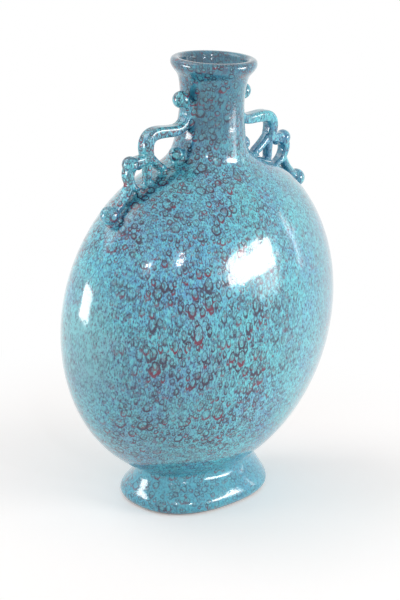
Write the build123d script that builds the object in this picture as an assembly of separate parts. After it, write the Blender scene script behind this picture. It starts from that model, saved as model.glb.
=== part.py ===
from build123d import *
import math
import os

# Pilgrim flask: a lens-shaped belly pressed in two halves, a flared neck, an oval foot ring and two
# openwork scroll handles built from rolled straps and pearls, all luted together and glazed.
# Millimetres. +Z is up, the wide axis with the handles is X, the front face looks along -Y.
# The origin is the centre of the underside of the foot.

# Belly: the lens that the two pressed halves make
belly_half_width = 111.5
belly_half_depth = 65.0
belly_rise = 114.0
belly_wall = 6.0

# Foot ring: an oval that rolls out at its lower edge
foot_height = 26.0
foot_half_width = 54.5
foot_half_depth = 40.0
foot_wall = 7.0
foot_roll = 4.5
foot_tuck = 2.2

# Neck and mouth
neck_height = 65.0
neck_waist_radius = 21.0
neck_waist_height = 36.0
neck_root_radius = 22.9
neck_root_height = 14.0
neck_root_sink = 0.4
flare_radius = 23.3
flare_drop = 11.5
mouth_radius = 28.1
lip_thickness = 6.8
lip_round = 3.3
bore_radius = 16.0
bore_depth = 48.0
throat_relief = 1.5

# Scroll handles: straps that lie in the plane of the seam, from the neck out to the lower pearl
handle_rise = 41.4
scroll_width = 5.4
scroll_thickness = 9.0
brace_width = 5.0
brace_thickness = 7.0
prop_width = 5.0
prop_thickness = 6.2
curl_width = 4.8
curl_thickness = 7.5
curl_bulb_radius = 5.1
curl_eye_radius = 2.7
tail_width = 5.2
tail_thickness = 7.0
upper_pearl_radius = 5.4
lower_pearl_radius = 6.0
knob_radius = 5.2
pearl_sink = 0.7

# How full the ovals are: the least is an ellipse, more is squarer
ellipse_fullness = 2.0
belly_lower_fullness = 2.1
belly_upper_fullness = 1.9
foot_fullness = 2.4

# Where the belly stops at the foot and at the neck, of its rise from the widest level
foot_seat_share = -0.895
neck_seat_share = 0.935

# Levels at which the belly's sections are drawn, of its rise
belly_level_shares = (-0.895, -0.82, -0.68, -0.48, -0.24, 0.0, 0.22, 0.42, 0.59)

# The shoulder below the neck: level, half width and half depth, of the belly's own
shoulder_shares = (
    (0.733, 0.680, 0.652),
    (0.821, 0.552, 0.540),
    (0.8825, 0.420, 0.440),
    (0.935, 0.306, 0.369),
)

# The neck's root, from the shoulder's oval to a circle: level, and how much of the oval is left
root_level_shares = (0.0, 0.30, 0.60, 1.0)
root_oval_shares = (1.0, 0.37, 0.115, 0.0)

# Foot profile: level, and how far the side has gone in from its widest to the seat
foot_profile_shares = ((0.36, 0.18), (0.58, 0.50), (0.80, 0.86))

# Handle routes: the first share runs from the neck's waist out to the lower pearl, and the second from
# the neck's seat up the handle's rise or, where it is negative, down to the lower pearl
scroll_route_shares = (
    (0.110, 0.976), (0.038, 0.862), (0.030, 0.690), (0.105, 0.548), (0.240, 0.512),
    (0.420, 0.520), (0.512, 0.478), (0.553, 0.375), (0.552, 0.260), (0.534, 0.157),
)
brace_route_shares = ((0.510, 0.160), (0.375, -0.022), (0.300, -0.152), (0.230, -0.267))
prop_route_shares = ((0.532, 0.130), (0.530, -0.157), (0.532, -0.533))
curl_route_shares = (
    (0.545, 0.150), (0.640, 0.125), (0.735, 0.080), (0.778, -0.080),
    (0.757, -0.290), (0.695, -0.455), (0.620, -0.525), (0.552, -0.500),
)
tail_route_shares = (
    (0.745, -0.300), (0.775, -0.440), (0.822, -0.620), (0.880, -0.790), (0.942, -0.910), (1.0, -1.0),
)
curl_bulb_shares = (0.755, 0.095)
curl_eye_shares = (0.648, 0.055)
knob_place_shares = (0.142, 0.120)
lower_pearl_share = 0.74

# How the straps swell and thin along their routes, of their nominal widths
scroll_width_shares = (0.90, 0.95, 1.00, 1.12, 1.20, 1.24, 1.34, 1.38, 1.36, 1.20)
brace_width_shares = (1.10, 0.95, 1.00, 1.10)
prop_width_shares = (1.10, 0.94, 1.06)
curl_width_shares = (1.15, 1.25, 1.36, 1.26, 1.00, 0.84, 0.80, 0.80)
tail_width_shares = (0.86, 0.86, 0.92, 1.08, 1.16, 1.10)

# Rounding of a strap's long edges, of its narrowest width
edge_round_share = 0.42

# How finely free curves are drawn: points round an oval, and points on a strap's side for each of its
# route's points
oval_points = 24
side_points = 2

# Slopes of the neck's side where it leaves the collar, and of the flare inside the mouth
collar_slope_shares = (-1, 0, 12)
flare_slope_shares = (1, 0, 2)

# Directions in the plane of a profile
upright = (0, 0, 1)
inward = (-1, 0, 0)
outward = (1, 0, 0)

# Levels that follow from the sizes above
belly_centre = foot_height - belly_rise * foot_seat_share
neck_seat = belly_centre + belly_rise * neck_seat_share
overall_height = neck_seat + neck_height


def ellipse_share(level_share, fullness=ellipse_fullness):
    """Half size of the belly at a level, of its largest: 1 at the middle and 0 at the pole."""
    return (1 - abs(level_share) ** fullness) ** (1 / fullness)


def belly_sections():
    """Level, half width and half depth shares of every section, from the foot to the neck."""
    sections = []
    for level_share in belly_level_shares:
        fullness = belly_lower_fullness if level_share < 0 else belly_upper_fullness
        sections.append((level_share, ellipse_share(level_share), ellipse_share(level_share, fullness)))
    return sections + list(shoulder_shares)


def half_oval(half_width, half_depth, height):
    """Front half of an ellipse, closed by a straight line along the seam between the halves."""
    rim = EllipticalCenterArc((0, 0), half_width, half_depth, start_angle=180, arc_size=180)
    seam = Line(rim @ 1, rim @ 0)
    return Pos(0, 0, height) * make_face([rim, seam])


def lens_half(inset):
    """Solid front half of the belly, drawn in by the inset all round."""
    faces = []
    for level_share, width_share, depth_share in belly_sections():
        faces.append(half_oval(
            (belly_half_width - inset) * width_share,
            (belly_half_depth - inset) * depth_share,
            belly_centre + (belly_rise - inset) * level_share,
        ))
    return loft(faces)


def oval(half_width, half_depth, fullness, height):
    """Closed oval face; its outline starts at the back, clear of the seam and the handles."""
    points = []
    for step in range(oval_points):
        turn = 2 * math.pi * step / oval_points
        across = math.sin(turn)
        along = math.cos(turn)
        points.append((
            half_width * math.copysign(abs(across) ** (2 / fullness), across),
            half_depth * math.copysign(abs(along) ** (2 / fullness), along),
        ))
    return Pos(0, 0, height) * make_face(Spline(points, periodic=True))


def shell_half():
    """Front half of the hollow belly, its top cut away a little wider than the neck's bore."""
    cavity = lens_half(belly_wall)
    throat = Pos(0, 0, belly_centre) * extrude(Circle(bore_radius + throat_relief), belly_rise)
    return lens_half(0) - cavity - throat


def foot_solid(inset):
    """Outer form of the foot, or with an inset the hollow under it."""
    seat_width = belly_half_width * ellipse_share(foot_seat_share)
    seat_depth = belly_half_depth * ellipse_share(foot_seat_share, belly_lower_fullness)
    rows = [(0, foot_half_width - foot_tuck, foot_half_depth - foot_tuck, foot_fullness)]
    rows.append((foot_roll, foot_half_width, foot_half_depth, foot_fullness))
    for level_share, inward_share in foot_profile_shares:
        rows.append((
            foot_height * level_share,
            foot_half_width + (seat_width - foot_half_width) * inward_share,
            foot_half_depth + (seat_depth - foot_half_depth) * inward_share,
            foot_fullness + (ellipse_fullness - foot_fullness) * inward_share,
        ))
    rows.append((foot_height, seat_width, seat_depth, ellipse_fullness))
    return loft([
        oval(width - inset, depth - inset, fullness, height)
        for height, width, depth, fullness in rows
    ])


def foot_ring():
    """Hollow oval ring that the belly stands on."""
    return foot_solid(0) - foot_solid(foot_wall)


def neck_root():
    """Collar that draws the shoulder's oval in to the round of the neck, and ends just inside it."""
    top_width_share, top_depth_share = shoulder_shares[-1][1:]
    inner_radius = neck_root_radius - neck_root_sink
    spare_width = belly_half_width * top_width_share - inner_radius
    spare_depth = belly_half_depth * top_depth_share - inner_radius
    faces = []
    for level_share, oval_share in zip(root_level_shares, root_oval_shares):
        faces.append(oval(
            inner_radius + spare_width * oval_share,
            inner_radius + spare_depth * oval_share,
            ellipse_fullness,
            neck_seat + neck_root_height * level_share,
        ))
    return loft(faces)


def neck_form():
    """Outer form of the neck: the collar, and above it the waist, the flare and the rolled lip."""
    root_top = neck_seat + neck_root_height
    lip_side = overall_height - lip_round
    side = Spline(
        [
            (neck_root_radius, 0, root_top),
            (neck_waist_radius, 0, neck_seat + neck_waist_height),
            (flare_radius, 0, overall_height - flare_drop),
            (mouth_radius, 0, lip_side),
        ],
        tangents=[collar_slope_shares, upright],
    )
    lip = Spline(
        [(mouth_radius, 0, lip_side), (mouth_radius - lip_thickness / 2, 0, overall_height)],
        tangents=[upright, inward],
    )
    outline = [
        Line((neck_root_radius, 0, neck_seat), (neck_root_radius, 0, root_top)),
        side,
        lip,
        Line(lip @ 1, (0, 0, overall_height)),
        Line((0, 0, overall_height), (0, 0, neck_seat)),
        Line((0, 0, neck_seat), (neck_root_radius, 0, neck_seat)),
    ]
    return neck_root() + revolve(make_face(outline), Axis.Z)


def neck_hollow():
    """Straight bore of the neck and the flare inside the mouth."""
    bore_top = neck_seat + bore_depth
    lip_inside = mouth_radius - lip_thickness
    flare = Spline(
        [(bore_radius, 0, bore_top), (lip_inside, 0, overall_height - lip_round)],
        tangents=[upright, flare_slope_shares],
    )
    lip = Spline(
        [flare @ 1, (mouth_radius - lip_thickness / 2, 0, overall_height)],
        tangents=[flare_slope_shares, outward],
    )
    above = overall_height + lip_round
    outline = [
        Line((0, 0, neck_seat), (bore_radius, 0, neck_seat)),
        Line((bore_radius, 0, neck_seat), (bore_radius, 0, bore_top)),
        flare,
        lip,
        Line(lip @ 1, (mouth_radius - lip_thickness / 2, 0, above)),
        Line((mouth_radius - lip_thickness / 2, 0, above), (0, 0, above)),
        Line((0, 0, above), (0, 0, neck_seat)),
    ]
    return revolve(make_face(outline), Axis.Z)


def lower_pearl_centre():
    """Centre of the pearl that rests on the shoulder, a little sunk into it."""
    width_share = lower_pearl_share
    level_share = ellipse_share(width_share)
    out_x = width_share / belly_half_width
    out_z = level_share / belly_rise
    length = math.hypot(out_x, out_z)
    stand_off = lower_pearl_radius - pearl_sink
    return (
        belly_half_width * width_share + stand_off * out_x / length,
        belly_centre + belly_rise * level_share + stand_off * out_z / length,
    )


def handle_place(share):
    """A point of the handle's plane from its two shares."""
    pearl_across, pearl_up = lower_pearl_centre()
    across = neck_waist_radius + (pearl_across - neck_waist_radius) * share[0]
    climb = handle_rise if share[1] > 0 else neck_seat - pearl_up
    return (across, neck_seat + climb * share[1])


def share_along(shares, part_way):
    """Value read part way along a table of shares, straight between its entries."""
    position = part_way * (len(shares) - 1)
    index = min(int(position), len(shares) - 2)
    return shares[index] + (shares[index + 1] - shares[index]) * (position - index)


def strap(points, width, width_shares, thickness):
    """Rolled strap along a smooth route in the handle's plane, swelling and thinning on its way."""
    route = Spline([(across, 0, up) for across, up in points])
    steps = side_points * len(points)
    outer_side = []
    inner_side = []
    for step in range(steps + 1):
        part_way = step / steps
        tangent = route % part_way
        to_side = Vector(tangent.Z, 0, -tangent.X) * (width * share_along(width_shares, part_way) / 2)
        outer_side.append(route @ part_way + to_side)
        inner_side.append(route @ part_way - to_side)
    first_half = width * width_shares[0] / 2
    last_half = width * width_shares[-1] / 2
    outline = [
        Spline(outer_side),
        ThreePointArc(outer_side[-1], route @ 1 + (route % 1) * last_half, inner_side[-1]),
        Spline(inner_side),
        ThreePointArc(inner_side[0], route @ 0 - (route % 0) * first_half, outer_side[0]),
    ]
    bar = extrude(make_face(outline), thickness / 2, dir=(0, 1, 0), both=True)
    long_edges = bar.edges().filter_by_position(Axis.Y, -thickness / 2, -thickness / 2)
    long_edges += bar.edges().filter_by_position(Axis.Y, thickness / 2, thickness / 2)
    return fillet(long_edges, width * min(width_shares) * edge_round_share)


def pearl(place, radius):
    """Ball of clay at a point of the handle's plane."""
    return Pos(place[0], 0, place[1]) * Sphere(radius)


def handle_strap(route_shares, width, width_shares, thickness):
    """Strap whose route is given in the handle's shares."""
    return strap([handle_place(share) for share in route_shares], width, width_shares, thickness)


def handle_pieces(body):
    """The right handle's pieces, each cut to seat on the body and on the pieces laid before it."""
    curl = handle_strap(curl_route_shares, curl_width, curl_width_shares, curl_thickness)
    bulb = pearl(handle_place(curl_bulb_shares), curl_bulb_radius)
    eye = pearl(handle_place(curl_eye_shares), curl_eye_radius)
    pieces = {
        "upper_pearl": pearl(handle_place(scroll_route_shares[0]), upper_pearl_radius),
        "neck_knob": pearl(handle_place(knob_place_shares), knob_radius),
        "lower_pearl": pearl(lower_pearl_centre(), lower_pearl_radius),
        "handle_scroll": handle_strap(
            scroll_route_shares, scroll_width, scroll_width_shares, scroll_thickness),
        "handle_prop": handle_strap(prop_route_shares, prop_width, prop_width_shares, prop_thickness),
        "handle_brace": handle_strap(
            brace_route_shares, brace_width, brace_width_shares, brace_thickness),
        "handle_curl": curl + bulb + eye,
        "handle_tail": handle_strap(tail_route_shares, tail_width, tail_width_shares, tail_thickness),
    }
    laid = list(body)
    for name, piece in pieces.items():
        for neighbour in laid:
            piece = piece - neighbour
        pieces[name] = piece.solids().sort_by(SortBy.VOLUME)[-1]
        laid.append(pieces[name])
    return pieces


def write(name, shape):
    """Save one piece under its node's name."""
    shape.label = name
    export_step(shape, f"parts/{name}.step")
    print(name, round(shape.volume), "mm3")


os.makedirs("parts", exist_ok=True)

# The flask is the same after half a turn, which gives the back half and the left handle
half_turn = Rot(0, 0, 180)
front_shell = shell_half()
neck = neck_form()
body_forms = [lens_half(0), half_turn * lens_half(0), neck]
write("front_shell", front_shell)
write("back_shell", half_turn * front_shell)
write("neck", neck - neck_hollow())
write("foot_ring", foot_ring())
for piece_name, solid in handle_pieces(body_forms).items():
    write("right_" + piece_name, solid)
    write("left_" + piece_name, half_turn * solid)
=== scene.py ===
# %% [markdown]
# A pilgrim flask in a bubbled turquoise glaze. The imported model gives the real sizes, and every piece here
# is built around it in the same frame, in metres: Z is up, X is the wide axis with the two handles, and
# the front face looks along -Y.

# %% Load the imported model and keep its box
import bpy
import bmesh
import math
from types import SimpleNamespace
from mathutils import Matrix, Vector
from mathutils.bvhtree import BVHTree
from mathutils.kdtree import KDTree


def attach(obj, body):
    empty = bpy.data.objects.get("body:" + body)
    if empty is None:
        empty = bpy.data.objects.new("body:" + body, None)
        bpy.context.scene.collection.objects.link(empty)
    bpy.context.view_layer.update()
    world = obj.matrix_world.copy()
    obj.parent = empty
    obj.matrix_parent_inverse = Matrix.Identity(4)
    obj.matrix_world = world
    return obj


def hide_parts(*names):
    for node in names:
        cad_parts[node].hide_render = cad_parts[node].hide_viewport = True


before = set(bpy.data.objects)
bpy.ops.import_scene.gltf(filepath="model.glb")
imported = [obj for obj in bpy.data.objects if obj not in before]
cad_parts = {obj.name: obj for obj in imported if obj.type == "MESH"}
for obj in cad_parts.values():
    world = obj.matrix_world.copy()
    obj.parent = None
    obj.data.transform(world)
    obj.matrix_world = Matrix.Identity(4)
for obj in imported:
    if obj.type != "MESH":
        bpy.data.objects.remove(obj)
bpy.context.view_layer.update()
scene = bpy.context.scene
MM = 0.001

# %% [markdown]
# The camera comes first, because everything is compared through it. The photograph looks at the flask
# from its front left, a little from above, with a long lens. Its place and turn were found by fitting the
# outline of the belly, the foot and the lip. The matrix is written from the three directions of the view.

# %% Camera
IMAGE_LONG_SIDE = 600
FOCAL_PIXELS = 1702.9
SENSOR = 36.0
CAMERA_DISTANCE = 1.084
CAMERA_HEIGHT = 0.4865
SIDE_TURN = math.radians(45.84)
PAN = math.radians(-0.09)
DOWN_TILT = math.radians(17.92)
ROLL = math.radians(2.70)

heading = SIDE_TURN + PAN
level_right = Vector((math.cos(heading), -math.sin(heading), 0))
look = Vector((math.sin(heading) * math.cos(DOWN_TILT),
               math.cos(heading) * math.cos(DOWN_TILT),
               -math.sin(DOWN_TILT)))
level_up = level_right.cross(look)
view_right = level_right * math.cos(ROLL) + level_up * math.sin(ROLL)
view_up = level_up * math.cos(ROLL) - level_right * math.sin(ROLL)
camera_place = Vector((-CAMERA_DISTANCE * math.sin(SIDE_TURN),
                       -CAMERA_DISTANCE * math.cos(SIDE_TURN),
                       CAMERA_HEIGHT))

camera_data = bpy.data.cameras.new("camera")
camera_data.lens = FOCAL_PIXELS * SENSOR / IMAGE_LONG_SIDE
camera_data.sensor_width = SENSOR
camera = bpy.data.objects.new("camera", camera_data)
camera_turn = Matrix((view_right, view_up, -look)).transposed()
camera.matrix_world = Matrix.Translation(camera_place) @ camera_turn.to_4x4()
scene.collection.objects.link(camera)
scene.camera = camera
scene.view_settings.view_transform = "Standard"
print("lens", round(camera_data.lens, 2), "mm, camera at", [round(c, 3) for c in camera_place])

# %% [markdown]
# The body is one skin on the real flask: two pressed halves, a neck and a foot are luted together, and the
# glaze runs over all the joints. So it is one surface here too, from the floor of the hollow under the
# foot, out round the foot ring, up the belly and the neck, over the lip and down inside. Every level is an
# oval, so a table of half width, half depth, height and fullness says it all. A fullness of 2 is an
# ellipse, and more is squarer. The belly follows a formula, and the shoulder is a share of it.

# %% The belly's ovals, in millimetres
BELLY_HALF_WIDTH = 111.4
BELLY_HALF_DEPTH = 64.9
BELLY_RISE = 114.0
BELLY_CENTRE = 128.03
BELLY_WALL = 6.0
ELLIPSE = 2.0
LOWER_FULLNESS = 2.1
UPPER_FULLNESS = 1.9
SHOULDER = ((0.733, 0.680, 0.652), (0.821, 0.552, 0.540), (0.8825, 0.420, 0.440))
OUTSIDE_LEVELS = (-0.86, -0.80, -0.70, -0.58, -0.45, -0.31, -0.16, 0.0, 0.15, 0.29, 0.42, 0.53, 0.63)
INSIDE_LEVELS = (0.53, 0.35, 0.16, -0.04, -0.25, -0.45, -0.62, -0.76, -0.85)


def wall_oval(level, width_share, depth_share, inset=0.0):
    """Oval of the wall at a level from -1 to 1, as shares of the belly's half width and half depth."""
    return ((BELLY_HALF_WIDTH - inset) * width_share, (BELLY_HALF_DEPTH - inset) * depth_share,
            BELLY_CENTRE + (BELLY_RISE - inset) * level, ELLIPSE)


def belly_oval(level, inset=0.0):
    """Oval of the belly's own lens at a level from -1 to 1."""
    fullness = LOWER_FULLNESS if level < 0 else UPPER_FULLNESS
    width_share = (1 - abs(level) ** 2) ** 0.5
    depth_share = (1 - abs(level) ** fullness) ** (1 / fullness)
    return wall_oval(level, width_share, depth_share, inset)


belly = [(49.9, 30.9, 25.8, ELLIPSE)]
belly += [belly_oval(level) for level in OUTSIDE_LEVELS]
belly += [wall_oval(*row) for row in SHOULDER]
inner_belly = [wall_oval(*row, inset=BELLY_WALL) for row in reversed(SHOULDER[:2])]
inner_belly += [belly_oval(level, BELLY_WALL) for level in INSIDE_LEVELS]
print("belly ovals:", len(belly), "outside and", len(inner_belly), "inside")

# %% [markdown]
# The foot is squarer than the belly, rolled out at its lower edge and hollow underneath. The neck is round
# above a short oval collar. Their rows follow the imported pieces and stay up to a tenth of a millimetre
# inside them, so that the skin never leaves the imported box.

# %% The ovals of the foot, the neck and the inside, in millimetres
HEIGHT = 299.55
MOUTH = 28.05
BORE = 16.0


def rings(*rows):
    """Round ovals from pairs of radius and height."""
    return [(radius, radius, height, ELLIPSE) for radius, height in rows]


underside = [(0, 0, 26.0, ELLIPSE), (14, 8, 26.0, ELLIPSE), (28, 15.5, 25.8, ELLIPSE),
             (38, 21.5, 24.6, 2.05), (43.6, 27.2, 19.5, 2.2), (45.6, 30.2, 12.0, 2.3),
             (46.6, 32.0, 5.0, 2.4), (46.4, 32.0, 2.0, 2.4), (47.0, 32.6, 0.5, 2.4), (48.0, 33.5, 0.12, 2.4)]
foot = [(50.2, 35.7, 0.12, 2.4), (52.0, 37.5, 0.6, 2.4), (53.7, 39.2, 2.4, 2.4),
        (54.45, 39.95, 4.8, 2.4), (54.3, 39.5, 7.4, 2.37), (53.5, 38.0, 10.2, 2.32),
        (51.6, 34.9, 14.4, 2.22), (50.1, 32.1, 17.8, 2.13), (49.1, 30.3, 20.6, 2.07),
        (48.8, 29.8, 23.4, 2.02)]
collar = [(35.4, 24.9, 233.6, ELLIPSE), (29.3, 23.8, 237.4, ELLIPSE), (25.9, 23.4, 241.6, ELLIPSE),
          (23.5, 23.0, 247.2, ELLIPSE)]
neck = rings((22.4, 253.6), (21.7, 259.6), (21.2, 265.2), (21.0, 271.0), (21.2, 277.0), (21.9, 283.0),
             (23.3, 288.1), (25.6, 291.2))
lip = rings((27.4, 293.8), (MOUTH, 296.3), (27.6, 298.2), (26.4, 299.25), (24.7, HEIGHT), (23.0, 299.1),
            (21.8, 297.8), (21.1, 295.4))
bore = rings((19.6, 291.4), (17.8, 286.6), (16.4, 282.0), (BORE, 276.0), (BORE, 262.0), (BORE, 246.0))
throat = [(17.0, 16.6, 235.0, ELLIPSE), (21.5, 18.0, 229.6, ELLIPSE), (32.0, 21.6, 225.4, ELLIPSE)]
inner_floor = [(41.0, 23.0, 32.4, ELLIPSE), (26.0, 14.0, 31.5, ELLIPSE), (12.0, 6.5, 31.4, ELLIPSE),
               (0, 0, 31.4, ELLIPSE)]
outer_ovals = underside + foot + belly + collar + neck + lip
body_ovals = outer_ovals + bore + throat + inner_belly + inner_floor
print("ovals:", len(body_ovals), "widest", max(row[0] for row in body_ovals), "mm")

# %% [markdown]
# Geometry Nodes draw the skin. A curve holds the table: its X is the half width, its Y the half depth, its
# Z the height, and its radius the fullness of the oval. Automatic handles make it flow from oval to oval,
# which a mesh made row by row would not do.

# %% Curve that carries the ovals
LEVELS_PER_OVAL = 4


def oval_curve(name, rows, detail):
    """Curve through (half width, half depth, height), with the fullness as its radius."""
    data = bpy.data.curves.new(name, "CURVE")
    data.dimensions = "3D"
    data.resolution_u = detail
    spline = data.splines.new("BEZIER")
    spline.bezier_points.add(len(rows) - 1)
    for point, (width, depth, height, fullness) in zip(spline.bezier_points, rows):
        point.co = (width * MM, depth * MM, height * MM)
        point.radius = fullness
        point.handle_left_type = point.handle_right_type = "AUTO"
    curve_object = bpy.data.objects.new(name, data)
    scene.collection.objects.link(curve_object)
    return curve_object


body_curve = oval_curve("body_ovals", body_ovals, LEVELS_PER_OVAL)
print("curve points:", len(body_ovals), "with", LEVELS_PER_OVAL, "levels after each")

# %% [markdown]
# Node trees for shapes and for glazes are built by the same three small helpers: one adds a node with its
# settings, one puts a link or a plain value into a socket, and one adds a Math node.

# %% Small helpers for node trees


def add_node(tree, kind, **settings):
    """A node of a kind, with its settings."""
    node = tree.nodes.new(kind)
    for key, value in settings.items():
        setattr(node, key, value)
    return node


def feed(tree, source, target):
    """Puts a link or a fixed value into a socket."""
    if isinstance(source, bpy.types.NodeSocket):
        tree.links.new(source, target)
    elif source is not None:
        target.default_value = source


def maths(tree, operation, first, second=None, third=None, clamp=False):
    """Result of a Math node."""
    node = add_node(tree, "ShaderNodeMath", operation=operation, use_clamp=clamp)
    for value, socket in zip((first, second, third), node.inputs):
        feed(tree, value, socket)
    return node.outputs[0]


print("helpers:", add_node.__name__, feed.__name__, maths.__name__)

# %% [markdown]
# The tree reads one ring of a grid from each point of the curve and lays it out as an oval, so a change in
# the table moves the whole skin. A fuller oval is an ellipse whose sine and cosine are raised to a power
# below one. Merging the doubles closes the seam and both poles.

# %% Node tree that lays the rings out as ovals
MERGE_DISTANCE = 0.00001


def point_value(tree, points, kind, field, index):
    """Value of a field at one point of the curve."""
    sample = add_node(tree, "GeometryNodeSampleIndex", data_type=kind)
    tree.links.new(points, sample.inputs["Geometry"])
    tree.links.new(field, sample.inputs["Value"])
    tree.links.new(index, sample.inputs["Index"])
    return sample.outputs[0]


def oval_skin_tree():
    """Tree from a curve of ovals to a closed skin, with the number of sides as a named input."""
    tree = bpy.data.node_groups.new("oval_skin", "GeometryNodeTree")
    face = tree.interface
    face.new_socket("Geometry", in_out="INPUT", socket_type="NodeSocketGeometry")
    face.new_socket("Ovals", in_out="INPUT", socket_type="NodeSocketObject")
    face.new_socket("Sides", in_out="INPUT", socket_type="NodeSocketInt")
    face.new_socket("Glaze", in_out="INPUT", socket_type="NodeSocketMaterial")
    face.new_socket("Geometry", in_out="OUTPUT", socket_type="NodeSocketGeometry")
    given = add_node(tree, "NodeGroupInput")
    result = add_node(tree, "NodeGroupOutput")
    link = tree.links.new
    ovals = add_node(tree, "GeometryNodeObjectInfo", transform_space="ORIGINAL")
    link(given.outputs["Ovals"], ovals.inputs["Object"])
    points = add_node(tree, "GeometryNodeCurveToPoints", mode="EVALUATED")
    link(ovals.outputs["Geometry"], points.inputs["Curve"])
    size = add_node(tree, "GeometryNodeAttributeDomainSize", component="POINTCLOUD")
    link(points.outputs["Points"], size.inputs["Geometry"])
    levels = size.outputs["Point Count"]
    grid = add_node(tree, "GeometryNodeMeshGrid")
    link(maths(tree, "ADD", given.outputs["Sides"], 1.0), grid.inputs["Vertices X"])
    link(levels, grid.inputs["Vertices Y"])

    index = add_node(tree, "GeometryNodeInputIndex").outputs[0]
    level = maths(tree, "MODULO", index, levels)
    side = maths(tree, "FLOOR", maths(tree, "DIVIDE", index, levels))
    angle = maths(tree, "MULTIPLY", maths(tree, "DIVIDE", side, given.outputs["Sides"]), 2 * math.pi)
    position = add_node(tree, "GeometryNodeInputPosition").outputs[0]
    radius = add_node(tree, "GeometryNodeInputRadius").outputs[0]
    place = point_value(tree, points.outputs["Points"], "FLOAT_VECTOR", position, level)
    fullness = point_value(tree, points.outputs["Points"], "FLOAT", radius, level)
    power = maths(tree, "DIVIDE", 2.0, fullness)
    half = add_node(tree, "ShaderNodeSeparateXYZ")
    link(place, half.inputs[0])
    spot = add_node(tree, "ShaderNodeCombineXYZ")
    for wave, half_size, target in (("COSINE", half.outputs[0], 0), ("SINE", half.outputs[1], 1)):
        swing = maths(tree, wave, angle)
        reach = maths(tree, "POWER", maths(tree, "ABSOLUTE", swing), power)
        signed = maths(tree, "MULTIPLY", maths(tree, "SIGN", swing), reach)
        link(maths(tree, "MULTIPLY", signed, half_size), spot.inputs[target])
    link(half.outputs[2], spot.inputs[2])

    laid = add_node(tree, "GeometryNodeSetPosition")
    link(grid.outputs["Mesh"], laid.inputs["Geometry"])
    link(spot.outputs[0], laid.inputs["Position"])
    merged = add_node(tree, "GeometryNodeMergeByDistance")
    merged.inputs["Distance"].default_value = MERGE_DISTANCE
    link(laid.outputs[0], merged.inputs["Geometry"])
    smooth = add_node(tree, "GeometryNodeSetShadeSmooth")
    link(merged.outputs[0], smooth.inputs["Geometry"])
    real = add_node(tree, "GeometryNodeRealizeInstances")
    link(smooth.outputs[0], real.inputs["Geometry"])
    glazed = add_node(tree, "GeometryNodeSetMaterial")
    link(real.outputs[0], glazed.inputs["Geometry"])
    link(given.outputs["Glaze"], glazed.inputs["Material"])
    link(glazed.outputs[0], result.inputs[0])
    return tree


oval_skin = oval_skin_tree()
print("nodes in the skin tree:", len(oval_skin.nodes))

# %% [markdown]
# The glaze is the whole look, and it is mixed from a few patterns. The helpers below mix two colours, turn
# a value into a soft step, read a noise, and give the linear colour of the values that a paint program
# shows. A soft step is used everywhere, because a glaze has no hard borders.

# %% Glaze helpers


def mix_colour(tree, share, first, second):
    """Colour between two colours."""
    node = add_node(tree, "ShaderNodeMix", data_type="RGBA", blend_type="MIX")
    feed(tree, share, node.inputs[0])
    feed(tree, first, node.inputs[6])
    feed(tree, second, node.inputs[7])
    return node.outputs[2]


def ramp(tree, value, low, high, to_low=0.0, to_high=1.0):
    """Smooth step of a value between two limits."""
    node = add_node(tree, "ShaderNodeMapRange", interpolation_type="SMOOTHSTEP")
    for given, socket in zip((value, low, high, to_low, to_high), node.inputs):
        feed(tree, given, socket)
    return node.outputs[0]


def noise(tree, vector, scale, detail=2.0, roughness=0.5):
    """Value and colour of a Noise Texture."""
    node = add_node(tree, "ShaderNodeTexNoise")
    feed(tree, vector, node.inputs["Vector"])
    feed(tree, scale, node.inputs["Scale"])
    feed(tree, detail, node.inputs["Detail"])
    feed(tree, roughness, node.inputs["Roughness"])
    return node.outputs["Fac"], node.outputs["Color"]


def vector_maths(tree, operation, first, second=None):
    """Result of a Vector Math node."""
    node = add_node(tree, "ShaderNodeVectorMath", operation=operation)
    feed(tree, first, node.inputs[0])
    if second is not None:
        feed(tree, second, node.inputs["Scale" if operation == "SCALE" else 1])
    return node.outputs[1] if operation in ("LENGTH", "DOT_PRODUCT") else node.outputs[0]


def split(tree, vector):
    """X, Y and Z of a vector."""
    node = add_node(tree, "ShaderNodeSeparateXYZ")
    tree.links.new(vector, node.inputs[0])
    return node.outputs[:3]


def sRGB(red, green, blue):
    """Linear colour from the usual 0 to 255 values."""
    def linear(value):
        value /= 255
        return value / 12.92 if value <= 0.04045 else ((value + 0.055) / 1.055) ** 2.4
    return (linear(red), linear(green), linear(blue), 1.0)


TURQUOISE = sRGB(94, 200, 214)
print("turquoise in linear values:", [round(part, 3) for part in TURQUOISE[:3]])

# %% [markdown]
# On the real flask bubbles burst in the kiln, and their rims turned a dark plum. Each rim here is a ring at
# a chosen distance from the centre of a Voronoi cell. The cells are solid, and the wall cuts them at any
# depth, so the distance is measured along the wall: otherwise most rings would come out too small. Each
# cell draws its own size and darkness, and the lower part of a rim is heavier and redder, because the
# glaze ran down.

# %% One layer of burst bubbles
CELL_RANDOMNESS = 0.8
CELL_DEPTH = (0.46, 0.34)
LOW_SIDE = (0.9, -0.9)
RIM_EDGE = (1.0, 0.4)
CHANCE_EDGE = 0.02
PALEST_TOP = 0.60
TOP_SPREAD = 0.38
REDDEST = (0.50, 0.82)
INNER_EDGE = 0.4


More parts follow.
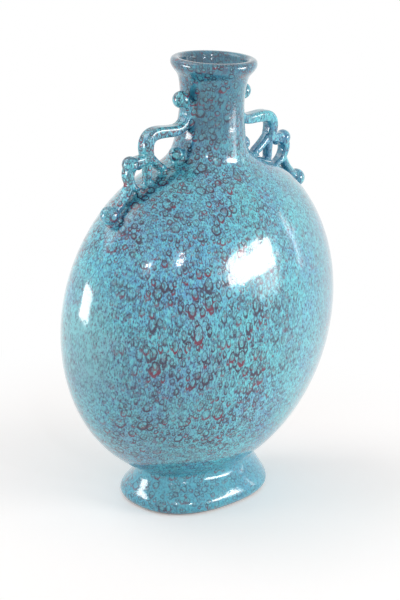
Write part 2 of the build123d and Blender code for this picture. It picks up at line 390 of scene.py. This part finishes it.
def bubble_layer(tree, vector, outward, cell, smallest, largest, rim, chance, sag):
    """Rim strength, redness and inner share of a layer of rings; cell is the cell size in metres."""
    cells = add_node(tree, "ShaderNodeTexVoronoi")
    cells.inputs["Randomness"].default_value = CELL_RANDOMNESS
    cells.inputs["Scale"].default_value = 1.0
    scaled = vector_maths(tree, "SCALE", vector, 1 / cell)
    tree.links.new(scaled, cells.inputs["Vector"])
    draw = add_node(tree, "ShaderNodeSeparateColor")
    tree.links.new(cells.outputs["Color"], draw.inputs[0])
    size_draw, chance_draw, tone_draw = draw.outputs

    # Distance from the centre along the wall
    offset = vector_maths(tree, "SUBTRACT", scaled, cells.outputs["Position"])
    depth = vector_maths(tree, "DOT_PRODUCT", offset, outward)
    along = maths(tree, "SUBTRACT", maths(tree, "POWER", cells.outputs["Distance"], 2.0),
                  maths(tree, "MULTIPLY", depth, depth))
    along = maths(tree, "SQRT", maths(tree, "MAXIMUM", along, 0.0))

    # The ring, wider at its lower side
    radius = maths(tree, "MULTIPLY_ADD", size_draw, largest - smallest, smallest)
    lowness = ramp(tree, maths(tree, "DIVIDE", split(tree, offset)[2], radius), *LOW_SIDE)
    away = maths(tree, "ABSOLUTE", maths(tree, "SUBTRACT", along, radius))
    width = maths(tree, "MULTIPLY", rim, maths(tree, "MULTIPLY_ADD", lowness, sag, 1.0 - 0.5 * sag))
    ring = ramp(tree, maths(tree, "DIVIDE", away, width), *RIM_EDGE)

    # Only cells that the wall cuts near their middle, and only some of those
    near = ramp(tree, maths(tree, "ABSOLUTE", depth), *CELL_DEPTH)
    drawn = ramp(tree, chance_draw, chance + CHANCE_EDGE, chance - CHANCE_EDGE)
    there = maths(tree, "MULTIPLY", near, drawn)
    top = maths(tree, "MULTIPLY_ADD", tone_draw, TOP_SPREAD, PALEST_TOP)
    fade = maths(tree, "MULTIPLY_ADD", lowness, maths(tree, "SUBTRACT", 1.0, top), top)
    strength = maths(tree, "MULTIPLY", maths(tree, "MULTIPLY", ring, there), fade)
    inner = ramp(tree, along, radius, maths(tree, "MULTIPLY", radius, INNER_EDGE))
    inner = maths(tree, "MULTIPLY", inner, there)
    redness = maths(tree, "MULTIPLY", maths(tree, "POWER", lowness, 2.0), ramp(tree, tone_draw, *REDDEST))
    return strength, redness, inner


# Cell size in metres; smallest and largest radius and rim as shares of it; chance of a bubble; sag; and how
# strongly the rims colour the glaze
BUBBLES = (
    (0.0026, 0.24, 0.36, 0.20, 0.60, 0.4, 0.62),
    (0.0038, 0.22, 0.36, 0.16, 0.68, 0.4, 0.92),
    (0.0064, 0.21, 0.33, 0.090, 0.68, 0.6, 0.96),
    (0.0110, 0.18, 0.28, 0.062, 0.50, 0.9, 0.96),
)
print("bubble layers:", len(BUBBLES), "cells from", BUBBLES[0][0] / MM, "to", BUBBLES[-1][0] / MM, "mm")

# %% [markdown]
# One recipe serves the body and the handles, and everything in it is placed by the object's own
# coordinates, so the pattern runs on where a handle joins the wall. The belly's heights are squeezed before
# the bubbles read them, so that cells there come out tall, as the glaze ran furthest there. A small wobble
# keeps the rings from being true circles. A painted attribute, pool, says where the glaze gathered in the
# crevices round the handles.

# %% What the glaze knows about a spot
RUN_BAND = (0.215, 0.055)
RUN_HEIGHT = 0.050
WOBBLE_NOISE = (330.0, 2.0)
WOBBLE = 0.0021
MID_GREY = (0.5, 0.5, 0.5)


def glaze_spot(tree):
    """Place, way out of the wall, x, height and pooled glaze at a spot, and its place as the glaze ran."""
    coordinates = add_node(tree, "ShaderNodeTexCoord")
    place, outward = coordinates.outputs["Object"], coordinates.outputs["Normal"]
    x, y, height = split(tree, place)
    pool = add_node(tree, "ShaderNodeAttribute", attribute_name="pool").outputs["Fac"]
    run = ramp(tree, height, *RUN_BAND, 0.0, RUN_HEIGHT)
    joined = add_node(tree, "ShaderNodeCombineXYZ")
    for source, target in zip((x, y, maths(tree, "ADD", height, run)), joined.inputs):
        tree.links.new(source, target)
    wobble = vector_maths(tree, "SUBTRACT", noise(tree, place, *WOBBLE_NOISE)[1], MID_GREY)
    flowing = vector_maths(tree, "ADD", joined.outputs[0], vector_maths(tree, "SCALE", wobble, WOBBLE))
    return SimpleNamespace(place=place, outward=outward, x=x, height=height, pool=pool, flowing=flowing)


print("heights squeezed by", RUN_HEIGHT / MM, "mm between", [round(level / MM) for level in RUN_BAND], "mm")

# %% [markdown]
# Under the bubbles the glaze clouds from turquoise to blue, with a milky veil, fine streaks and an even
# finer mottle that stand upright. Heights and sides steer it: the neck is darker and bluer, the lip is burnt
# to plum, and the foot stands on a bare line of clay. Painted light is mixed in too: a painted pale
# reflection on the narrow sides, a painted grey-blue reflection on the right side, painted shade low on the
# left, a deeper blue inside the mouth that is partly the glaze and partly painted shade, a blue patch on the
# front that is partly the glaze and partly a painted bluish glow round the sparks, and painted light that
# weakens the neck's darker blue on its right side. Each of these is one tint that takes over as some value
# crosses a band, so they are a table.

# %% The clouded base
CLOUD_NOISE = (24.0, 3.0, 0.55)
VEIL_NOISE = (42.0, 2.0)
STREAK_NOISE = (420.0, 3.0, 0.6)
MOTTLE_NOISE = (1150.0, 2.0, 0.5)
VEIL_SHIFT = (0.31, 0.17, 0.0)
UPRIGHT = (1.0, 1.0, 0.4)
LEVEL = (1.0, 1.0, 0.0)
# Centre of a blue patch that is partly the glaze's own blue and partly a painted bluish glow round the sparks
BLUE_PATCH_AND_GLOW = (-0.072, -0.042, 0.188)
PATCH_BLUR = 0.06
POOL_SHARE = 0.25
POOLED = sRGB(16, 112, 150)
# Band in X where the painted shade low on the left comes in
LOW_LEFT_SHADE_BAND = (-0.020, -0.055)
LIP_STREAKS = (0.46, 0.58)
LIP_OUTSIDE = (-0.004, 0.006)
# Painted light: the neck's darker blue fades to a third on its right side, where the right window falls
NECK_RIGHT_PAINTED_LIGHT = (0.006, 0.015, 1.0, 0.35)

# Where a tint starts and where it is full, the most that it covers, and its colour
TINTS = {
    "cloud": (0.42, 0.68, 1.0, sRGB(92, 166, 208)),
    "blue_patch_and_painted_glow": (0.100, 0.040, 0.62, sRGB(80, 164, 226)),
    "milky_veil": (0.50, 0.72, 0.40, sRGB(138, 178, 196)),
    "bright_streak": (0.47, 0.70, 0.80, sRGB(98, 214, 222)),
    "dull_streak": (0.50, 0.32, 0.60, sRGB(74, 138, 172)),
    "dark_mottle": (0.48, 0.35, 0.95, sRGB(52, 66, 108)),
    "light_mottle": (0.53, 0.66, 0.80, sRGB(122, 222, 228)),
    # Painted reflection: the narrow sides turn pale, as the white surroundings mirror in them at a grazing
    # angle
    "narrow_side_painted_reflection": (0.098, 0.1125, 0.45, sRGB(146, 182, 186)),
    # Painted reflection: a grey-blue cast over the right side of the body
    "right_painted_reflection": (0.030, 0.095, 1.0, sRGB(100, 130, 156)),
    # Painted shade: the lower left of the belly is darkened
    "low_left_painted_shade": (0.150, 0.100, 0.25, sRGB(70, 100, 136)),
    "burnt_lip": (0.286, 0.297, 0.75, sRGB(104, 44, 78)),
    # Inside the mouth: a deeper blue, partly the glaze and partly painted shade
    "mouth_blue_and_painted_shade": (0.0, -0.006, 0.50, sRGB(30, 112, 156)),
    "foot": (0.034, 0.022, 0.60, sRGB(64, 168, 194)),
    "neck": (0.232, 0.262, 1.0, sRGB(34, 104, 134)),
    "bare_clay": (0.0024, 0.0008, 1.0, sRGB(122, 112, 104)),
}


def tinted(tree, base, name, value, share=None):
    """Base with a tint mixed in as a value crosses the tint's band, weakened by a share."""
    start, full, most, colour = TINTS[name]
    amount = ramp(tree, value, start, full, 0.0, most)
    if share is not None:
        amount = maths(tree, "MULTIPLY", amount, share)
    return mix_colour(tree, amount, base, colour)


def clouded_base(tree, spot, neck_depth, right_reflection_share):
    """Turquoise with all its tints, by how dark the neck gets and how strong the painted grey-blue reflection
    on the right side is.
    """
    cloud = noise(tree, spot.place, *CLOUD_NOISE)[0]
    veil = noise(tree, vector_maths(tree, "ADD", spot.place, VEIL_SHIFT), *VEIL_NOISE)[0]
    upright = vector_maths(tree, "MULTIPLY", spot.place, UPRIGHT)
    streak = noise(tree, upright, *STREAK_NOISE)[0]
    mottle = noise(tree, upright, *MOTTLE_NOISE)[0]
    from_patch = vector_maths(tree, "LENGTH", vector_maths(tree, "SUBTRACT", spot.place, BLUE_PATCH_AND_GLOW))
    from_patch = maths(tree, "MULTIPLY_ADD", cloud, PATCH_BLUR, from_patch)
    from_axis = vector_maths(tree, "MULTIPLY", spot.place, LEVEL)
    outside = vector_maths(tree, "DOT_PRODUCT", spot.outward, from_axis)
    lip_share = maths(tree, "MULTIPLY", ramp(tree, streak, *LIP_STREAKS), ramp(tree, outside, *LIP_OUTSIDE))
    # The neck's darker blue is the glaze; its fading on the right side is painted light
    neck_glaze_and_painted_light = maths(tree, "MULTIPLY", ramp(tree, spot.x, *NECK_RIGHT_PAINTED_LIGHT), neck_depth)

    base = tinted(tree, TURQUOISE, "cloud", cloud)
    # Blue patch: partly glaze, partly a painted glow round the spark highlights
    base = tinted(tree, base, "blue_patch_and_painted_glow", from_patch)
    base = tinted(tree, base, "milky_veil", veil)
    base = tinted(tree, base, "bright_streak", streak)
    base = tinted(tree, base, "dull_streak", streak)
    base = tinted(tree, base, "dark_mottle", mottle)
    base = tinted(tree, base, "light_mottle", mottle)
    # Painted reflection: pale narrow sides
    base = tinted(tree, base, "narrow_side_painted_reflection", maths(tree, "ABSOLUTE", spot.x))
    # Painted reflection: grey-blue cast on the right side, by its share
    base = tinted(tree, base, "right_painted_reflection", spot.x, right_reflection_share)
    # Painted shade low on the left
    base = tinted(tree, base, "low_left_painted_shade", spot.height, ramp(tree, spot.x, *LOW_LEFT_SHADE_BAND))
    base = tinted(tree, base, "burnt_lip", spot.height, lip_share)
    # Deeper blue on the inner walls, partly painted shade
    base = tinted(tree, base, "mouth_blue_and_painted_shade", outside)
    base = tinted(tree, base, "foot", spot.height)
    # Darker blue neck glaze, lightened on the right as painted light
    base = tinted(tree, base, "neck", spot.height, neck_glaze_and_painted_light)
    base = mix_colour(tree, maths(tree, "MULTIPLY", spot.pool, POOL_SHARE), base, POOLED)
    return tinted(tree, base, "bare_clay", spot.height)


print("tints of the base:", len(TINTS) + 1)

# %% [markdown]
# The bubbles are fewer on the narrow sides, on the foot and towards the right, and a slow noise lets them
# crowd in some places. The rims also dent the surface, and low swells and a fine pitting make the
# highlights break up a little, as on a thick glaze. A clear coat over a slightly rough base gives each lamp
# a sharp image with a soft glow round it.

# %% The glaze material
CROWD_NOISE = (48.0, 2.0)
CROWD_BAND = (0.30, 0.52)
THINNEST_CROWD = 0.5
NARROW_SIDES = (0.080, 0.110, 1.0, 0.30)
ABOVE_FOOT = (0.030, 0.062, 0.6, 1.0)
TO_THE_RIGHT = (-0.025, 0.040, 1.0, 0.32)
PLUM_BAND = (0.215, 0.250)
BELLY_PLUM = sRGB(34, 14, 62)
NECK_PLUM = sRGB(22, 22, 58)
CRIMSON = sRGB(118, 2, 56)
BUBBLE_FILM = sRGB(116, 190, 196)
FILM_SHARE = 0.22
SWELL_NOISE = (110.0, 1.0)
PITTING_NOISE = (620.0, 2.0)
PITTING_BAND = (0.3, 0.7)
PITTING_HEIGHT = 0.16
RIM_DENT = -0.10
BUMP_STRENGTH = 0.3
BUMP_DISTANCE = 0.0006
GLOSS_SPREAD = 0.10
GLASS_IOR = 1.55
COAT = 0.7
COAT_ROUGHNESS = 0.03


def bubble_crowd(tree, spot, crowding):
    """How strongly bubbles show at a spot."""
    crowd = ramp(tree, noise(tree, spot.place, *CROWD_NOISE)[0], *CROWD_BAND,
                 THINNEST_CROWD * crowding, crowding)
    for value, band in ((maths(tree, "ABSOLUTE", spot.x), NARROW_SIDES), (spot.height, ABOVE_FOOT),
                        (spot.x, TO_THE_RIGHT)):
        crowd = maths(tree, "MULTIPLY", crowd, ramp(tree, value, *band))
    return crowd


def bubbled_colour(tree, spot, base, crowding):
    """Base colour with all layers of bubbles over it, and the strength of the rims."""
    crowd = bubble_crowd(tree, spot, crowding)
    plum = mix_colour(tree, ramp(tree, spot.height, *PLUM_BAND), BELLY_PLUM, NECK_PLUM)
    rims = 0.0
    for *layer, share in BUBBLES:
        strength, redness, inner = bubble_layer(tree, spot.flowing, spot.outward, *layer)
        base = mix_colour(tree, maths(tree, "MULTIPLY", inner, FILM_SHARE), base, BUBBLE_FILM)
        rim_colour = mix_colour(tree, redness, plum, CRIMSON)
        seen = maths(tree, "MULTIPLY", strength, crowd, clamp=True)
        base = mix_colour(tree, maths(tree, "MULTIPLY", seen, share), base, rim_colour)
        rims = maths(tree, "MAXIMUM", seen, rims)
    return base, rims


def bubbled_glaze(name, gloss, neck_depth, crowding, right_reflection_share):
    """Turquoise glaze full of burst bubbles; gloss is the roughness under the coat where it is smoothest."""
    material = bpy.data.materials.new(name)
    material.use_nodes = True
    tree = material.node_tree
    tree.nodes.clear()
    spot = glaze_spot(tree)
    colour, rims = bubbled_colour(tree, spot, clouded_base(tree, spot, neck_depth, right_reflection_share), crowding)
    swell = noise(tree, spot.place, *SWELL_NOISE)[0]
    pitting = noise(tree, spot.place, *PITTING_NOISE)[0]
    relief = maths(tree, "MULTIPLY_ADD", pitting, PITTING_HEIGHT, swell)
    relief = maths(tree, "MULTIPLY_ADD", rims, RIM_DENT, relief)
    bump = add_node(tree, "ShaderNodeBump")
    bump.inputs["Strength"].default_value = BUMP_STRENGTH
    bump.inputs["Distance"].default_value = BUMP_DISTANCE
    tree.links.new(relief, bump.inputs["Height"])
    shader = add_node(tree, "ShaderNodeBsdfPrincipled")
    roughness = ramp(tree, pitting, *PITTING_BAND, gloss, gloss + GLOSS_SPREAD)
    tree.links.new(roughness, shader.inputs["Roughness"])
    shader.inputs["IOR"].default_value = GLASS_IOR
    shader.inputs["Coat Weight"].default_value = COAT
    shader.inputs["Coat Roughness"].default_value = COAT_ROUGHNESS
    shader.inputs["Coat IOR"].default_value = GLASS_IOR
    tree.links.new(colour, shader.inputs["Base Color"])
    tree.links.new(bump.outputs[0], shader.inputs["Normal"])
    tree.links.new(bump.outputs[0], shader.inputs["Coat Normal"])
    output = add_node(tree, "ShaderNodeOutputMaterial")
    tree.links.new(shader.outputs[0], output.inputs[0])
    return material


# The body gets the painted grey-blue reflection on its right side, the handles none
body_glaze = bubbled_glaze("body_glaze", gloss=0.12, neck_depth=0.68, crowding=1.0, right_reflection_share=0.60)
handle_glaze = bubbled_glaze("handle_glaze", gloss=0.10, neck_depth=0.10, crowding=0.95, right_reflection_share=0.0)
print("glazes:", body_glaze.name, handle_glaze.name, "nodes:", len(body_glaze.node_tree.nodes))

# %% [markdown]
# The modifier runs the tree once, and its result is turned into a plain mesh, because the pieces of a
# finished model must not need their makers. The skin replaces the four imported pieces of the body.

# %% Skin of the body
BODY_SIDES = 256


def drawn_skin(name, curve_object, sides, material):
    """Mesh object that the oval tree draws from a curve."""
    holder = bpy.data.objects.new(name + "_maker", bpy.data.meshes.new(name + "_maker"))
    scene.collection.objects.link(holder)
    modifier = holder.modifiers.new("skin", "NODES")
    modifier.node_group = oval_skin
    items = oval_skin.interface.items_tree
    sockets = {item.name: item.identifier for item in items if item.in_out == "INPUT"}
    modifier[sockets["Ovals"]] = curve_object
    modifier[sockets["Sides"]] = sides
    modifier[sockets["Glaze"]] = material
    graph = bpy.context.evaluated_depsgraph_get()
    mesh = bpy.data.meshes.new_from_object(holder.evaluated_get(graph))
    mesh.name = name
    bpy.data.objects.remove(holder)
    bpy.data.objects.remove(curve_object)
    skin = bpy.data.objects.new(name, mesh)
    scene.collection.objects.link(skin)
    return skin


def face_outwards(piece):
    """Turns all faces of a closed piece outwards and says how many of its edges are open."""
    shape = bmesh.new()
    shape.from_mesh(piece.data)
    if shape.calc_volume(signed=True) < 0:
        bmesh.ops.reverse_faces(shape, faces=shape.faces)
    open_edges = sum(1 for edge in shape.edges if len(edge.link_faces) != 2)
    shape.to_mesh(piece.data)
    shape.free()
    return open_edges


body_skin = drawn_skin("glazed_body", body_curve, BODY_SIDES, body_glaze)
open_edges = face_outwards(body_skin)
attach(body_skin, "root")
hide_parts("front_shell", "back_shell", "neck", "foot_ring")
print("body faces:", len(body_skin.data.polygons), "open edges:", open_edges)

# %% [markdown]
# Each handle is rolled straps and pearls luted together and drowned in glaze, so no joint shows as a
# line. A modeller could sculpt it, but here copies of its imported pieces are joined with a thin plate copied
# from the wall behind them, and one fine voxel remesh turns all that into a single skin. Smoothing then
# fills the corners as slip does, most where a strap meets the wall, and the plate is pushed back under the
# wall's surface, so that only the fillets stay.

# %% Plate of wall behind a handle
PLATE_REACH = 0.0065
PLATE_THICKNESS = 0.0020
TOUCHING = 0.004


def tree_of(mesh):
    """Search tree over the faces of a mesh."""
    shape = bmesh.new()
    shape.from_mesh(mesh)
    found = BVHTree.FromBMesh(shape)
    shape.free()
    return found


def wall_plate(wall, handle_shape):
    """Closed thin plate copied from the outer wall near the places where a handle touches it."""
    wall_tree = tree_of(wall.data)
    touching = []
    for vertex in handle_shape.verts:
        spot, facing, _, _ = wall_tree.find_nearest(vertex.co, TOUCHING)
        if spot is not None and facing.xy.dot(spot.xy) > 0:
            touching.append(vertex.co.copy())
    near = KDTree(len(touching))
    for number, spot in enumerate(touching):
        near.insert(spot, number)
    near.balance()
    plate = bmesh.new()
    plate.from_mesh(wall.data)
    plate.normal_update()
    away = [face for face in plate.faces
            if near.find(face.calc_center_median())[2] > PLATE_REACH
            or face.normal.xy.dot(face.calc_center_median().xy) <= 0]
    bmesh.ops.delete(plate, geom=away, context="FACES")
    plate.normal_update()
    shifts = {tuple(vertex.co): -PLATE_THICKNESS * vertex.normal for vertex in plate.verts}
    made = bmesh.ops.extrude_face_region(plate, geom=plate.faces[:], use_keep_orig=True)
    for vertex in (part for part in made["geom"] if isinstance(part, bmesh.types.BMVert)):
        vertex.co += shifts[tuple(vertex.co)]
    bmesh.ops.recalc_face_normals(plate, faces=plate.faces[:])
    return plate


print("plate", PLATE_THICKNESS / MM, "mm thick, reaching", PLATE_REACH / MM, "mm round a handle's feet")

# %% [markdown]
# The remesh loses a little of every thin strap, so what stands clear of the wall is let out again by a
# fraction of a millimetre. How far a point stands over the wall decides all of this: near it the skin is
# smoothed into a fillet, and below it the skin is sunk.

# %% Handles
VOXEL = 0.0006
FIRST_ROUNDS = 4
FILLET_ROUNDS = 26
SMOOTHING = 0.5
FILLET_HEIGHT = 0.0034
PLATE_TOP = -0.0008
SUNK_FROM = (0.00002, 0.00016)
SINKING = 0.0007
GROWN_FROM = (0.0012, 0.0015)
THIN_LOSS = 0.00022
SAME_SPOT = 0.00001


def remeshed(name, mesh, rounds):
    """The mesh as one voxel skin, smoothed a number of times."""
    holder = bpy.data.objects.new(name + "_maker", mesh)
    scene.collection.objects.link(holder)
    melt = holder.modifiers.new("melt", "REMESH")
    melt.mode = "VOXEL"
    melt.voxel_size = VOXEL
    relax = holder.modifiers.new("relax", "SMOOTH")
    relax.factor = SMOOTHING
    relax.iterations = rounds
    graph = bpy.context.evaluated_depsgraph_get()
    result = bpy.data.meshes.new_from_object(holder.evaluated_get(graph))
    bpy.data.objects.remove(holder)
    bpy.data.meshes.remove(mesh)
    result.name = name
    return result


def height_over(tree, spot):
    """Signed height of a spot over a wall, and the way out of the wall there."""
    below, facing, _, _ = tree.find_nearest(spot)
    return (spot - below).dot(facing), facing


def climbed(height, start, span):
    """Share of a span that a height has climbed above its start, from 0 to 1."""
    return min(max((height - start) / span, 0.0), 1.0)


def joined_pieces(side, wall):
    """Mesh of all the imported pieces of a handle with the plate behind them, and the pieces' names."""
    names = sorted(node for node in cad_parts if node.startswith(side + "_"))
    shape = bmesh.new()
    for node in names:
        shape.from_mesh(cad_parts[node].data)
    bmesh.ops.remove_doubles(shape, verts=shape.verts, dist=SAME_SPOT)
    plate = wall_plate(wall, shape)
    mesh = bpy.data.meshes.new(side + "_handle_start")
    plate.to_mesh(mesh)
    shape.from_mesh(mesh)
    shape.to_mesh(mesh)
    plate.free()
    shape.free()
    return mesh, names


def fill_corners(mesh, wall_tree):
    """Fillets a handle's skin to the wall, sinks the plate and lets the thin straps out again."""
    skin = bmesh.new()
    skin.from_mesh(mesh)
    heights = {vertex: height_over(wall_tree, vertex.co)[0] for vertex in skin.verts}
    joint = [vertex for vertex, height in heights.items() if PLATE_TOP < height < FILLET_HEIGHT]
    for _ in range(FILLET_ROUNDS):
        bmesh.ops.smooth_vert(skin, verts=joint, factor=SMOOTHING,
                              use_axis_x=True, use_axis_y=True, use_axis_z=True)
    skin.normal_update()
    for vertex in skin.verts:
        height, facing = height_over(wall_tree, vertex.co)
        sunk = (1 - climbed(height, *SUNK_FROM)) * (height > PLATE_TOP)
        grown = climbed(height, *GROWN_FROM)
        vertex.co += THIN_LOSS * grown * vertex.normal - SINKING * sunk * facing
    skin.to_mesh(mesh)
    skin.free()


def melted_handle(side, wall):
    """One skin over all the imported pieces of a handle, with fillets to the wall."""
    mesh, names = joined_pieces(side, wall)
    mesh = remeshed(side + "_handle", mesh, FIRST_ROUNDS)
    fill_corners(mesh, tree_of(wall.data))
    mesh.materials.clear()
    mesh.materials.append(handle_glaze)
    mesh.polygons.foreach_set("use_smooth", [True] * len(mesh.polygons))
    handle = bpy.data.objects.new(side + "_handle", mesh)
    scene.collection.objects.link(handle)
    return handle, names


handles = {}
for side in ("left", "right"):
    handle, names = melted_handle(side, body_skin)
    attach(handle, "root")
    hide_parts(*names)
    handles[side] = handle
    print(handle.name, "faces:", len(handle.data.polygons), "open edges:", face_outwards(handle))

# %% [markdown]
# Glaze gathers wherever two forms meet, and there it is a deeper blue. The attribute pool holds how deep it
# lies: one in the corner between a handle and the wall, nothing a few millimetres away. It is painted from
# the distances between the pieces, because a material can't measure them.

# %% Paint the pooled glaze
POOL_REACH = 0.0065
POOL_POWER = 1.5


def paint_pool(piece, others):
    """Writes the pool attribute from the distance to the other pieces, and counts the pooled points."""
    values = []
    for vertex in piece.data.vertices:
        gap = min(tree.find_nearest(vertex.co)[3] for tree in others)
        values.append(max(0.0, 1 - gap / POOL_REACH) ** POOL_POWER)
    pool = piece.data.attributes.new("pool", "FLOAT", "POINT")
    pool.data.foreach_set("value", values)
    return sum(value > 0 for value in values)


wall_tree = tree_of(body_skin.data)
handle_trees = [tree_of(handle.data) for handle in handles.values()]
print("pooled points:", paint_pool(body_skin, handle_trees),
      [paint_pool(handle, [wall_tree]) for handle in handles.values()])

# %% [markdown]
# The floor is a plain pale sheet. The photograph's background is pure white with one soft grey shadow, so
# for the camera and in reflections the sheet is a white that keeps the shadow, lifted a little, and further
# out it passes into a plain white of strength 1. The light that it throws back on the flask comes from a
# plain lit sheet. The sheet that is seen is a trace warmer, because the turquoise flask tints its shadow.

# %% Floor
FLOOR_HALF = 12.0
FLOOR_GREY = (0.86, 0.86, 0.86, 1)
FLOOR_SEEN = (1, 0.960, 0.940, 1)
WHITE = (1, 1, 1, 1)
LIFT = 0.18
FADE = (0.12, 0.30)


def plain_white(tree, strength):
    """White emission of a strength."""
    node = add_node(tree, "ShaderNodeEmission")
    node.inputs["Color"].default_value = WHITE
    node.inputs["Strength"].default_value = strength
    return node.outputs[0]


def diffuse(tree, colour):
    """Diffuse sheet of a colour."""
    node = add_node(tree, "ShaderNodeBsdfDiffuse")
    node.inputs["Color"].default_value = colour
    return node.outputs[0]


def join_shaders(tree, kind, first, second, share=None):
    """Sum or mix of two shaders."""
    node = add_node(tree, kind)
    feed(tree, share, node.inputs[0])
    tree.links.new(first, node.inputs[-2])
    tree.links.new(second, node.inputs[-1])
    return node.outputs[0]


def seen_share(tree):
    """One for the camera, in reflections and through glass, and nothing for the light that is thrown."""
    rays = add_node(tree, "ShaderNodeLightPath")
    seen = maths(tree, "MAXIMUM", rays.outputs["Is Camera Ray"], rays.outputs["Is Transmission Ray"])
    return maths(tree, "MAXIMUM", seen, rays.outputs["Is Glossy Ray"])


def paper_sheet():
    """White paper that keeps a soft shadow near the flask."""
    material = bpy.data.materials.new("paper")
    material.use_nodes = True
    tree = material.node_tree
    tree.nodes.clear()
    from_flask = vector_maths(tree, "LENGTH", add_node(tree, "ShaderNodeTexCoord").outputs["Object"])
    near = join_shaders(tree, "ShaderNodeAddShader", diffuse(tree, FLOOR_SEEN), plain_white(tree, LIFT))
    seen = join_shaders(tree, "ShaderNodeMixShader", near, plain_white(tree, 1.0),
                        ramp(tree, from_flask, *FADE))
    both = join_shaders(tree, "ShaderNodeMixShader", diffuse(tree, FLOOR_GREY), seen, seen_share(tree))
    output = add_node(tree, "ShaderNodeOutputMaterial")
    tree.links.new(both, output.inputs[0])
    return material


corners = [(-FLOOR_HALF, -FLOOR_HALF, 0), (FLOOR_HALF, -FLOOR_HALF, 0),
           (FLOOR_HALF, FLOOR_HALF, 0), (-FLOOR_HALF, FLOOR_HALF, 0)]
floor_mesh = bpy.data.meshes.new("floor")
floor_mesh.from_pydata(corners, [], [(0, 1, 2, 3)])
floor_mesh.materials.append(paper_sheet())
floor = bpy.data.objects.new("floor", floor_mesh)
scene.collection.objects.link(floor)
print("floor", FLOOR_HALF * 2, "m wide")

# %% [markdown]
# The world is white for the camera and in reflections, as a light tent is, and half of that as light, so
# that the lamps still shape the flask.

# %% World
WORLD_LIGHT = 0.50
world = bpy.data.worlds.new("studio")
scene.world = world
world.use_nodes = True
sky = world.node_tree
sky.nodes.clear()
backdrop = add_node(sky, "ShaderNodeBackground")
backdrop.inputs["Color"].default_value = WHITE
sky.links.new(maths(sky, "MULTIPLY_ADD", seen_share(sky), 1 - WORLD_LIGHT, WORLD_LIGHT),
              backdrop.inputs["Strength"])
world_output = add_node(sky, "ShaderNodeOutputWorld")
sky.links.new(backdrop.outputs[0], world_output.inputs[0])
print("world light", WORLD_LIGHT)

# %% [markdown]
# The lamps stand where the highlights of the photograph say. A highlight on a known curve gives the
# direction that it mirrors, as a compass angle from the front towards the right, and a height. A window
# stands to the right, with a low pale sheet and a narrow strip beside it, and another window stands to the
# left. A large soft box hangs behind on the left and throws the soft shadow to the right, and two small
# lamps make the sparks on the front.

# %% Lamps
COOL_SPARK = (0.9, 0.93, 1.0)
FRONT = (-0.017, -0.057, 0.177)
LEFT_SIDE = (-0.109, -0.002, 0.155)
BELLY_MIDDLE = (0, 0, 0.15)

# Name, the point aimed at, compass angle and rise in degrees, distance, width, height, radiance and colour
LAMPS = (
    ("right_window", FRONT, 35.5, 9.8, 0.90, 0.47, 0.19, 13.0),
    ("right_sheet", FRONT, 44.0, -1.5, 0.95, 0.22, 0.12, 3.0),
    ("right_strip", FRONT, 67.0, 8.0, 1.20, 0.05, 0.45, 4.0),
    ("left_window", LEFT_SIDE, -124.0, 2.5, 0.90, 0.38, 0.27, 10.0),
    ("back_box", BELLY_MIDDLE, -138.0, 50.0, 1.50, 1.00, 1.00, 1.5),
    ("left_spark", FRONT, -38.5, 29.0, 1.80, 0.08, 0.08, 70.0, COOL_SPARK),
    ("front_spark", FRONT, -9.6, 26.0, 1.80, 0.11, 0.06, 70.0, COOL_SPARK),
)


def soft_lamp(name, aim, compass, rise, distance, width, tall, radiance, colour=(1, 1, 1)):
    """Rectangular lamp seen from an aim point under a compass angle and a rise, of a given radiance."""
    data = bpy.data.lights.new(name, "AREA")
    data.shape = "RECTANGLE"
    data.size, data.size_y = width, tall
    data.energy = radiance * math.pi * width * tall
    data.color = colour
    compass, rise = math.radians(compass), math.radians(rise)
    away = Vector((math.sin(compass) * math.cos(rise), -math.cos(compass) * math.cos(rise), math.sin(rise)))
    lamp = bpy.data.objects.new(name, data)
    place = Vector(aim) + distance * away
    lamp.matrix_world = Matrix.Translation(place) @ away.to_track_quat("Z", "Y").to_matrix().to_4x4()
    scene.collection.objects.link(lamp)


for lamp in LAMPS:
    soft_lamp(*lamp)
